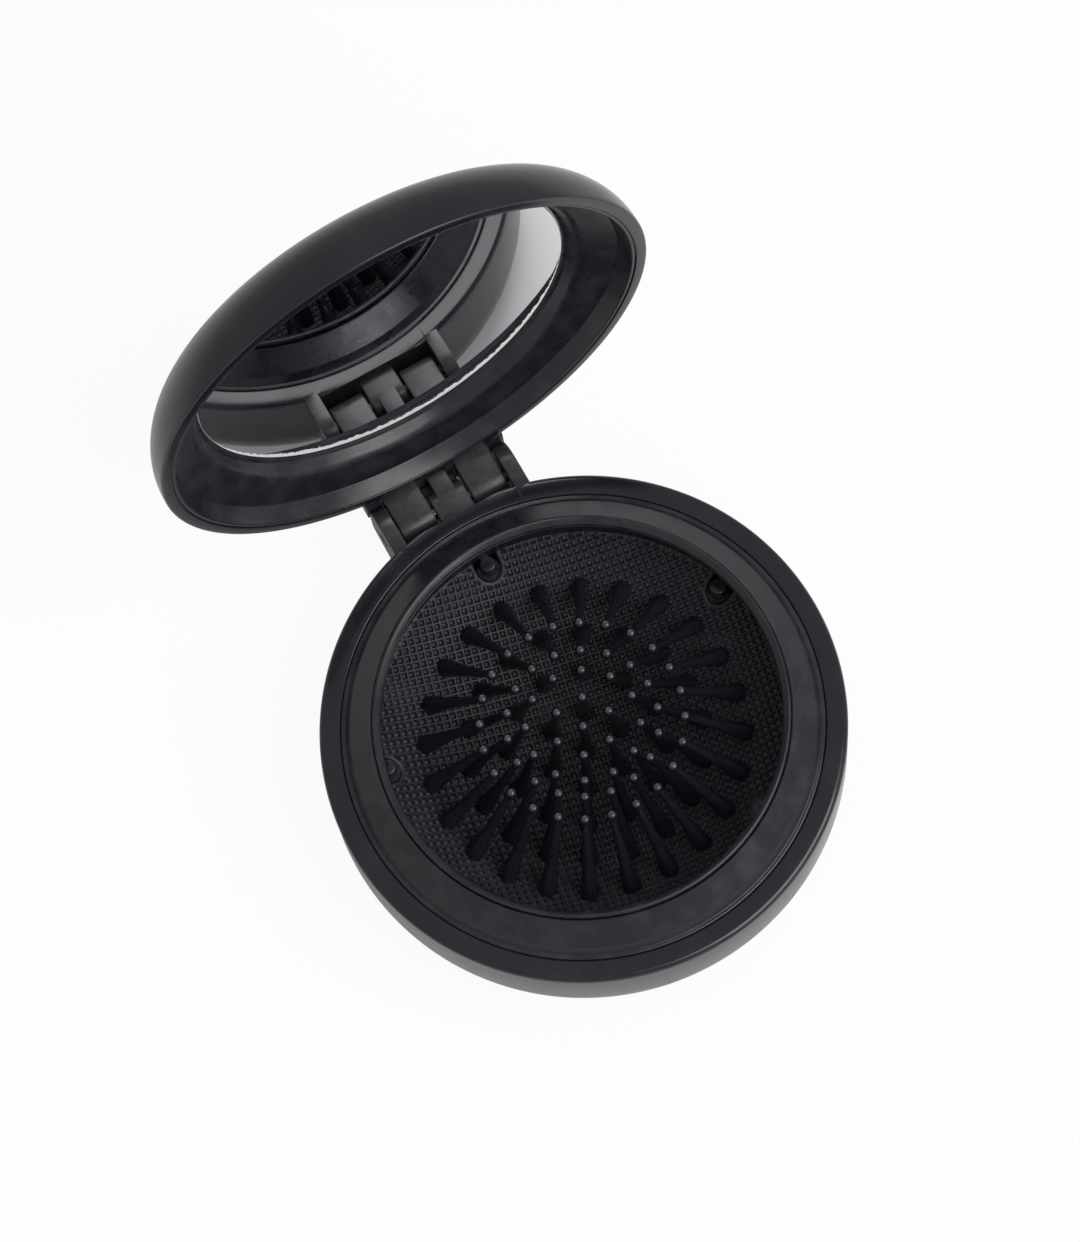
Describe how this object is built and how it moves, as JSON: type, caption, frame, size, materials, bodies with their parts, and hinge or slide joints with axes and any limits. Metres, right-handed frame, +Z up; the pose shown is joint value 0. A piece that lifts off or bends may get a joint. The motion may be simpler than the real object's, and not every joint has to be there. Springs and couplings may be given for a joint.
{
  "type": "compact styling brush with mirror",
  "caption": "Round hinged compact with a domed lid and mirror; the base holds a sunken rubber pad of ball-tipped pins that a plate underneath pushes up.",
  "frame": {"origin": "centre of the flat underside of the base", "axes": "+Z up out of the pad, +Y towards the hinge, +X along the hinge pin"},
  "size_m": [0.075, 0.0968, 0.0905],
  "materials": {
    "gloss_black": "polished",
    "satin_black": "satin",
    "pad_rubber": "soft, fine waffle",
    "pin_nylon": "smooth",
    "steel": "drawn",
    "mirror_glass": "silvered, ground edge",
    "foam_tape": "matt foam"
  },
  "bodies": {
    "base": {"base_shell": "gloss_black", "base_collar": "satin_black", "trim_ring": "satin_black", "brush_pad": "pad_rubber", "pad_clamp_ring": "satin_black", "clamp_screw_1": "steel", "clamp_screw_2": "steel", "clamp_screw_3": "steel", "clamp_screw_4": "steel", "clamp_screw_5": "steel", "hinge_pin": "steel"},
    "push": {"push_plate": "gloss_black"},
    "lid": {"lid_shell": "gloss_black", "lid_liner": "satin_black", "mirror": "mirror_glass", "mirror_tape": "foam_tape"},
    "middle_pin_01": {"middle_pin_01": "pin_nylon"},
    "middle_pin_02": {"middle_pin_02": "pin_nylon"},
    "middle_pin_03": {"middle_pin_03": "pin_nylon"},
    "middle_pin_04": {"middle_pin_04": "pin_nylon"},
    "middle_pin_05": {"middle_pin_05": "pin_nylon"},
    "middle_pin_06": {"middle_pin_06": "pin_nylon"},
    "middle_pin_07": {"middle_pin_07": "pin_nylon"},
    "middle_pin_08": {"middle_pin_08": "pin_nylon"},
    "middle_pin_09": {"middle_pin_09": "pin_nylon"},
    "middle_pin_10": {"middle_pin_10": "pin_nylon"},
    "middle_pin_11": {"middle_pin_11": "pin_nylon"},
    "middle_pin_12": {"middle_pin_12": "pin_nylon"},
    "middle_pin_13": {"middle_pin_13": "pin_nylon"},
    "middle_pin_14": {"middle_pin_14": "pin_nylon"},
    "middle_pin_15": {"middle_pin_15": "pin_nylon"},
    "middle_pin_16": {"middle_pin_16": "pin_nylon"},
    "middle_pin_17": {"middle_pin_17": "pin_nylon"},
    "middle_pin_18": {"middle_pin_18": "pin_nylon"},
    "outer_pin_01": {"outer_pin_01": "pin_nylon"},
    "outer_pin_02": {"outer_pin_02": "pin_nylon"},
    "outer_pin_03": {"outer_pin_03": "pin_nylon"},
    "outer_pin_04": {"outer_pin_04": "pin_nylon"},
    "outer_pin_05": {"outer_pin_05": "pin_nylon"},
    "outer_pin_06": {"outer_pin_06": "pin_nylon"},
    "outer_pin_07": {"outer_pin_07": "pin_nylon"},
    "outer_pin_08": {"outer_pin_08": "pin_nylon"},
    "outer_pin_09": {"outer_pin_09": "pin_nylon"},
    "outer_pin_10": {"outer_pin_10": "pin_nylon"},
    "outer_pin_11": {"outer_pin_11": "pin_nylon"},
    "outer_pin_12": {"outer_pin_12": "pin_nylon"},
    "outer_pin_13": {"outer_pin_13": "pin_nylon"},
    "outer_pin_14": {"outer_pin_14": "pin_nylon"},
    "outer_pin_15": {"outer_pin_15": "pin_nylon"},
    "outer_pin_16": {"outer_pin_16": "pin_nylon"},
    "outer_pin_17": {"outer_pin_17": "pin_nylon"},
    "outer_pin_18": {"outer_pin_18": "pin_nylon"},
    "outer_pin_19": {"outer_pin_19": "pin_nylon"},
    "outer_pin_20": {"outer_pin_20": "pin_nylon"},
    "outer_pin_21": {"outer_pin_21": "pin_nylon"},
    "outer_pin_22": {"outer_pin_22": "pin_nylon"},
    "outer_pin_23": {"outer_pin_23": "pin_nylon"},
    "outer_pin_24": {"outer_pin_24": "pin_nylon"}
  },
  "joints": [
    {"name": "lid_hinge", "type": "hinge", "parent": "base", "child": "lid", "pos_m": [0, 0.0397, 0.0135], "axis": [1, 0, 0], "range_deg": [0, 92]},
    {"name": "push_slide", "type": "slide", "parent": "base", "child": "push", "axis": [0, 0, 1], "range_m": [0, 0.02], "deforming": ["brush_pad", "middle_pin_01", "middle_pin_02", "middle_pin_03", "middle_pin_04", "middle_pin_05", "middle_pin_06", "middle_pin_07", "middle_pin_08", "middle_pin_09", "middle_pin_10", "middle_pin_11", "middle_pin_12", "middle_pin_13", "middle_pin_14", "middle_pin_15", "middle_pin_16", "middle_pin_17", "middle_pin_18", "outer_pin_01", "outer_pin_02", "outer_pin_03", "outer_pin_04", "outer_pin_05", "outer_pin_06", "outer_pin_07", "outer_pin_08", "outer_pin_09", "outer_pin_10", "outer_pin_11", "outer_pin_12", "outer_pin_13", "outer_pin_14", "outer_pin_15", "outer_pin_16", "outer_pin_17", "outer_pin_18", "outer_pin_19", "outer_pin_20", "outer_pin_21", "outer_pin_22", "outer_pin_23", "outer_pin_24"]},
    {"name": "middle_pin_01_turn", "type": "hinge", "parent": "base", "child": "middle_pin_01", "pos_m": [0.03507, 0.00153, 0.01497], "axis": [-0.0436, 0.999, 0], "range_deg": [0, 49.13]},
    {"name": "middle_pin_02_turn", "type": "hinge", "parent": "base", "child": "middle_pin_02", "pos_m": [0.03243, 0.01343, 0.01497], "axis": [-0.3827, 0.9239, 0], "range_deg": [0, 49.13]},
    {"name": "middle_pin_03_turn", "type": "hinge", "parent": "base", "child": "middle_pin_03", "pos_m": [0.02588, 0.02371, 0.01497], "axis": [-0.6756, 0.7373, 0], "range_deg": [0, 49.13]},
    {"name": "middle_pin_04_turn", "type": "hinge", "parent": "base", "child": "middle_pin_04", "pos_m": [0.01621, 0.03113, 0.01497], "axis": [-0.887, 0.4617, 0], "range_deg": [0, 49.13]},
    {"name": "middle_pin_05_turn", "type": "hinge", "parent": "base", "child": "middle_pin_05", "pos_m": [0.00458, 0.0348, 0.01497], "axis": [-0.9914, 0.1305, 0], "range_deg": [0, 49.13]},
    {"name": "middle_pin_06_turn", "type": "hinge", "parent": "base", "child": "middle_pin_06", "pos_m": [-0.0076, 0.03427, 0.01497], "axis": [-0.9763, -0.2164, 0], "range_deg": [0, 49.13]},
    {"name": "middle_pin_07_turn", "type": "hinge", "parent": "base", "child": "middle_pin_07", "pos_m": [-0.01886, 0.0296, 0.01497], "axis": [-0.8434, -0.5373, 0], "range_deg": [0, 49.13]},
    {"name": "middle_pin_08_turn", "type": "hinge", "parent": "base", "child": "middle_pin_08", "pos_m": [-0.02785, 0.02137, 0.01497], "axis": [-0.6088, -0.7934, 0], "range_deg": [0, 49.13]},
    {"name": "middle_pin_09_turn", "type": "hinge", "parent": "base", "child": "middle_pin_09", "pos_m": [-0.03348, 0.01056, 0.01497], "axis": [-0.3007, -0.9537, 0], "range_deg": [0, 49.13]},
    {"name": "middle_pin_10_turn", "type": "hinge", "parent": "base", "child": "middle_pin_10", "pos_m": [-0.03507, -0.00153, 0.01497], "axis": [0.0436, -0.999, 0], "range_deg": [0, 49.13]},
    {"name": "middle_pin_11_turn", "type": "hinge", "parent": "base", "child": "middle_pin_11", "pos_m": [-0.03243, -0.01343, 0.01497], "axis": [0.3827, -0.9239, 0], "range_deg": [0, 49.13]},
    {"name": "middle_pin_12_turn", "type": "hinge", "parent": "base", "child": "middle_pin_12", "pos_m": [-0.02588, -0.02371, 0.01497], "axis": [0.6756, -0.7373, 0], "range_deg": [0, 49.13]},
    {"name": "middle_pin_13_turn", "type": "hinge", "parent": "base", "child": "middle_pin_13", "pos_m": [-0.01621, -0.03113, 0.01497], "axis": [0.887, -0.4617, 0], "range_deg": [0, 49.13]},
    {"name": "middle_pin_14_turn", "type": "hinge", "parent": "base", "child": "middle_pin_14", "pos_m": [-0.00458, -0.0348, 0.01497], "axis": [0.9914, -0.1305, 0], "range_deg": [0, 49.13]},
    {"name": "middle_pin_15_turn", "type": "hinge", "parent": "base", "child": "middle_pin_15", "pos_m": [0.0076, -0.03427, 0.01497], "axis": [0.9763, 0.2164, 0], "range_deg": [0, 49.13]},
    {"name": "middle_pin_16_turn", "type": "hinge", "parent": "base", "child": "middle_pin_16", "pos_m": [0.01886, -0.0296, 0.01497], "axis": [0.8434, 0.5373, 0], "range_deg": [0, 49.13]},
    {"name": "middle_pin_17_turn", "type": "hinge", "parent": "base", "child": "middle_pin_17", "pos_m": [0.02785, -0.02137, 0.01497], "axis": [0.6088, 0.7934, 0], "range_deg": [0, 49.13]},
    {"name": "middle_pin_18_turn", "type": "hinge", "parent": "base", "child": "middle_pin_18", "pos_m": [0.03348, -0.01056, 0.01497], "axis": [0.3007, 0.9537, 0], "range_deg": [0, 49.13]},
    {"name": "outer_pin_01_turn", "type": "hinge", "parent": "base", "child": "outer_pin_01", "pos_m": [0.02816, 0.00123, 0.01411], "axis": [-0.0436, 0.999, 0], "range_deg": [0, 79.18]},
    {"name": "outer_pin_02_turn", "type": "hinge", "parent": "base", "child": "outer_pin_02", "pos_m": [0.02688, 0.00847, 0.01411], "axis": [-0.3007, 0.9537, 0], "range_deg": [0, 79.18]},
    {"name": "outer_pin_03_turn", "type": "hinge", "parent": "base", "child": "outer_pin_03", "pos_m": [0.02377, 0.01514, 0.01411], "axis": [-0.5373, 0.8434, 0], "range_deg": [0, 79.18]},
    {"name": "outer_pin_04_turn", "type": "hinge", "parent": "base", "child": "outer_pin_04", "pos_m": [0.01904, 0.02078, 0.01411], "axis": [-0.7373, 0.6756, 0], "range_deg": [0, 79.18]},
    {"name": "outer_pin_05_turn", "type": "hinge", "parent": "base", "child": "outer_pin_05", "pos_m": [0.01301, 0.025, 0.01411], "axis": [-0.887, 0.4617, 0], "range_deg": [0, 79.18]},
    {"name": "outer_pin_06_turn", "type": "hinge", "parent": "base", "child": "outer_pin_06", "pos_m": [0.0061, 0.02751, 0.01411], "axis": [-0.9763, 0.2164, 0], "range_deg": [0, 79.18]},
    {"name": "outer_pin_07_turn", "type": "hinge", "parent": "base", "child": "outer_pin_07", "pos_m": [-0.00123, 0.02816, 0.01411], "axis": [-0.999, -0.0436, 0], "range_deg": [0, 79.18]},
    {"name": "outer_pin_08_turn", "type": "hinge", "parent": "base", "child": "outer_pin_08", "pos_m": [-0.00847, 0.02688, 0.01411], "axis": [-0.9537, -0.3007, 0], "range_deg": [0, 79.18]},
    {"name": "outer_pin_09_turn", "type": "hinge", "parent": "base", "child": "outer_pin_09", "pos_m": [-0.01514, 0.02377, 0.01411], "axis": [-0.8434, -0.5373, 0], "range_deg": [0, 79.18]},
    {"name": "outer_pin_10_turn", "type": "hinge", "parent": "base", "child": "outer_pin_10", "pos_m": [-0.02078, 0.01904, 0.01411], "axis": [-0.6756, -0.7373, 0], "range_deg": [0, 79.18]},
    {"name": "outer_pin_11_turn", "type": "hinge", "parent": "base", "child": "outer_pin_11", "pos_m": [-0.025, 0.01301, 0.01411], "axis": [-0.4617, -0.887, 0], "range_deg": [0, 79.18]},
    {"name": "outer_pin_12_turn", "type": "hinge", "parent": "base", "child": "outer_pin_12", "pos_m": [-0.02751, 0.0061, 0.01411], "axis": [-0.2164, -0.9763, 0], "range_deg": [0, 79.18]},
    {"name": "outer_pin_13_turn", "type": "hinge", "parent": "base", "child": "outer_pin_13", "pos_m": [-0.02816, -0.00123, 0.01411], "axis": [0.0436, -0.999, 0], "range_deg": [0, 79.18]},
    {"name": "outer_pin_14_turn", "type": "hinge", "parent": "base", "child": "outer_pin_14", "pos_m": [-0.02688, -0.00847, 0.01411], "axis": [0.3007, -0.9537, 0], "range_deg": [0, 79.18]},
    {"name": "outer_pin_15_turn", "type": "hinge", "parent": "base", "child": "outer_pin_15", "pos_m": [-0.02377, -0.01514, 0.01411], "axis": [0.5373, -0.8434, 0], "range_deg": [0, 79.18]},
    {"name": "outer_pin_16_turn", "type": "hinge", "parent": "base", "child": "outer_pin_16", "pos_m": [-0.01904, -0.02078, 0.01411], "axis": [0.7373, -0.6756, 0], "range_deg": [0, 79.18]},
    {"name": "outer_pin_17_turn", "type": "hinge", "parent": "base", "child": "outer_pin_17", "pos_m": [-0.01301, -0.025, 0.01411], "axis": [0.887, -0.4617, 0], "range_deg": [0, 79.18]},
    {"name": "outer_pin_18_turn", "type": "hinge", "parent": "base", "child": "outer_pin_18", "pos_m": [-0.0061, -0.02751, 0.01411], "axis": [0.9763, -0.2164, 0], "range_deg": [0, 79.18]},
    {"name": "outer_pin_19_turn", "type": "hinge", "parent": "base", "child": "outer_pin_19", "pos_m": [0.00123, -0.02816, 0.01411], "axis": [0.999, 0.0436, 0], "range_deg": [0, 79.18]},
    {"name": "outer_pin_20_turn", "type": "hinge", "parent": "base", "child": "outer_pin_20", "pos_m": [0.00847, -0.02688, 0.01411], "axis": [0.9537, 0.3007, 0], "range_deg": [0, 79.18]},
    {"name": "outer_pin_21_turn", "type": "hinge", "parent": "base", "child": "outer_pin_21", "pos_m": [0.01514, -0.02377, 0.01411], "axis": [0.8434, 0.5373, 0], "range_deg": [0, 79.18]},
    {"name": "outer_pin_22_turn", "type": "hinge", "parent": "base", "child": "outer_pin_22", "pos_m": [0.02078, -0.01904, 0.01411], "axis": [0.6756, 0.7373, 0], "range_deg": [0, 79.18]},
    {"name": "outer_pin_23_turn", "type": "hinge", "parent": "base", "child": "outer_pin_23", "pos_m": [0.025, -0.01301, 0.01411], "axis": [0.4617, 0.887, 0], "range_deg": [0, 79.18]},
    {"name": "outer_pin_24_turn", "type": "hinge", "parent": "base", "child": "outer_pin_24", "pos_m": [0.02751, -0.0061, 0.01411], "axis": [0.2164, 0.9763, 0], "range_deg": [0, 79.18]}
  ],
  "couplings": [
    {"joint": "middle_pin_01_turn", "follows": "push_slide", "rad_per_m": 42.829},
    {"joint": "middle_pin_02_turn", "follows": "push_slide", "rad_per_m": 42.829},
    {"joint": "middle_pin_03_turn", "follows": "push_slide", "rad_per_m": 42.829},
    {"joint": "middle_pin_04_turn", "follows": "push_slide", "rad_per_m": 42.829},
    {"joint": "middle_pin_05_turn", "follows": "push_slide", "rad_per_m": 42.829},
    {"joint": "middle_pin_06_turn", "follows": "push_slide", "rad_per_m": 42.829},
    {"joint": "middle_pin_07_turn", "follows": "push_slide", "rad_per_m": 42.829},
    {"joint": "middle_pin_08_turn", "follows": "push_slide", "rad_per_m": 42.829},
    {"joint": "middle_pin_09_turn", "follows": "push_slide", "rad_per_m": 42.829},
    {"joint": "middle_pin_10_turn", "follows": "push_slide", "rad_per_m": 42.829},
    {"joint": "middle_pin_11_turn", "follows": "push_slide", "rad_per_m": 42.829},
    {"joint": "middle_pin_12_turn", "follows": "push_slide", "rad_per_m": 42.829},
    {"joint": "middle_pin_13_turn", "follows": "push_slide", "rad_per_m": 42.829},
    {"joint": "middle_pin_14_turn", "follows": "push_slide", "rad_per_m": 42.829},
    {"joint": "middle_pin_15_turn", "follows": "push_slide", "rad_per_m": 42.829},
    {"joint": "middle_pin_16_turn", "follows": "push_slide", "rad_per_m": 42.829},
    {"joint": "middle_pin_17_turn", "follows": "push_slide", "rad_per_m": 42.829},
    {"joint": "middle_pin_18_turn", "follows": "push_slide", "rad_per_m": 42.829},
    {"joint": "outer_pin_01_turn", "follows": "push_slide", "rad_per_m": 69.052},
    {"joint": "outer_pin_02_turn", "follows": "push_slide", "rad_per_m": 69.052},
    {"joint": "outer_pin_03_turn", "follows": "push_slide", "rad_per_m": 69.052},
    {"joint": "outer_pin_04_turn", "follows": "push_slide", "rad_per_m": 69.052},
    {"joint": "outer_pin_05_turn", "follows": "push_slide", "rad_per_m": 69.052},
    {"joint": "outer_pin_06_turn", "follows": "push_slide", "rad_per_m": 69.052},
    {"joint": "outer_pin_07_turn", "follows": "push_slide", "rad_per_m": 69.052},
    {"joint": "outer_pin_08_turn", "follows": "push_slide", "rad_per_m": 69.052},
    {"joint": "outer_pin_09_turn", "follows": "push_slide", "rad_per_m": 69.052},
    {"joint": "outer_pin_10_turn", "follows": "push_slide", "rad_per_m": 69.052},
    {"joint": "outer_pin_11_turn", "follows": "push_slide", "rad_per_m": 69.052},
    {"joint": "outer_pin_12_turn", "follows": "push_slide", "rad_per_m": 69.052},
    {"joint": "outer_pin_13_turn", "follows": "push_slide", "rad_per_m": 69.052},
    {"joint": "outer_pin_14_turn", "follows": "push_slide", "rad_per_m": 69.052},
    {"joint": "outer_pin_15_turn", "follows": "push_slide", "rad_per_m": 69.052},
    {"joint": "outer_pin_16_turn", "follows": "push_slide", "rad_per_m": 69.052},
    {"joint": "outer_pin_17_turn", "follows": "push_slide", "rad_per_m": 69.052},
    {"joint": "outer_pin_18_turn", "follows": "push_slide", "rad_per_m": 69.052},
    {"joint": "outer_pin_19_turn", "follows": "push_slide", "rad_per_m": 69.052},
    {"joint": "outer_pin_20_turn", "follows": "push_slide", "rad_per_m": 69.052},
    {"joint": "outer_pin_21_turn", "follows": "push_slide", "rad_per_m": 69.052},
    {"joint": "outer_pin_22_turn", "follows": "push_slide", "rad_per_m": 69.052},
    {"joint": "outer_pin_23_turn", "follows": "push_slide", "rad_per_m": 69.052},
    {"joint": "outer_pin_24_turn", "follows": "push_slide", "rad_per_m": 69.052}
  ]
}
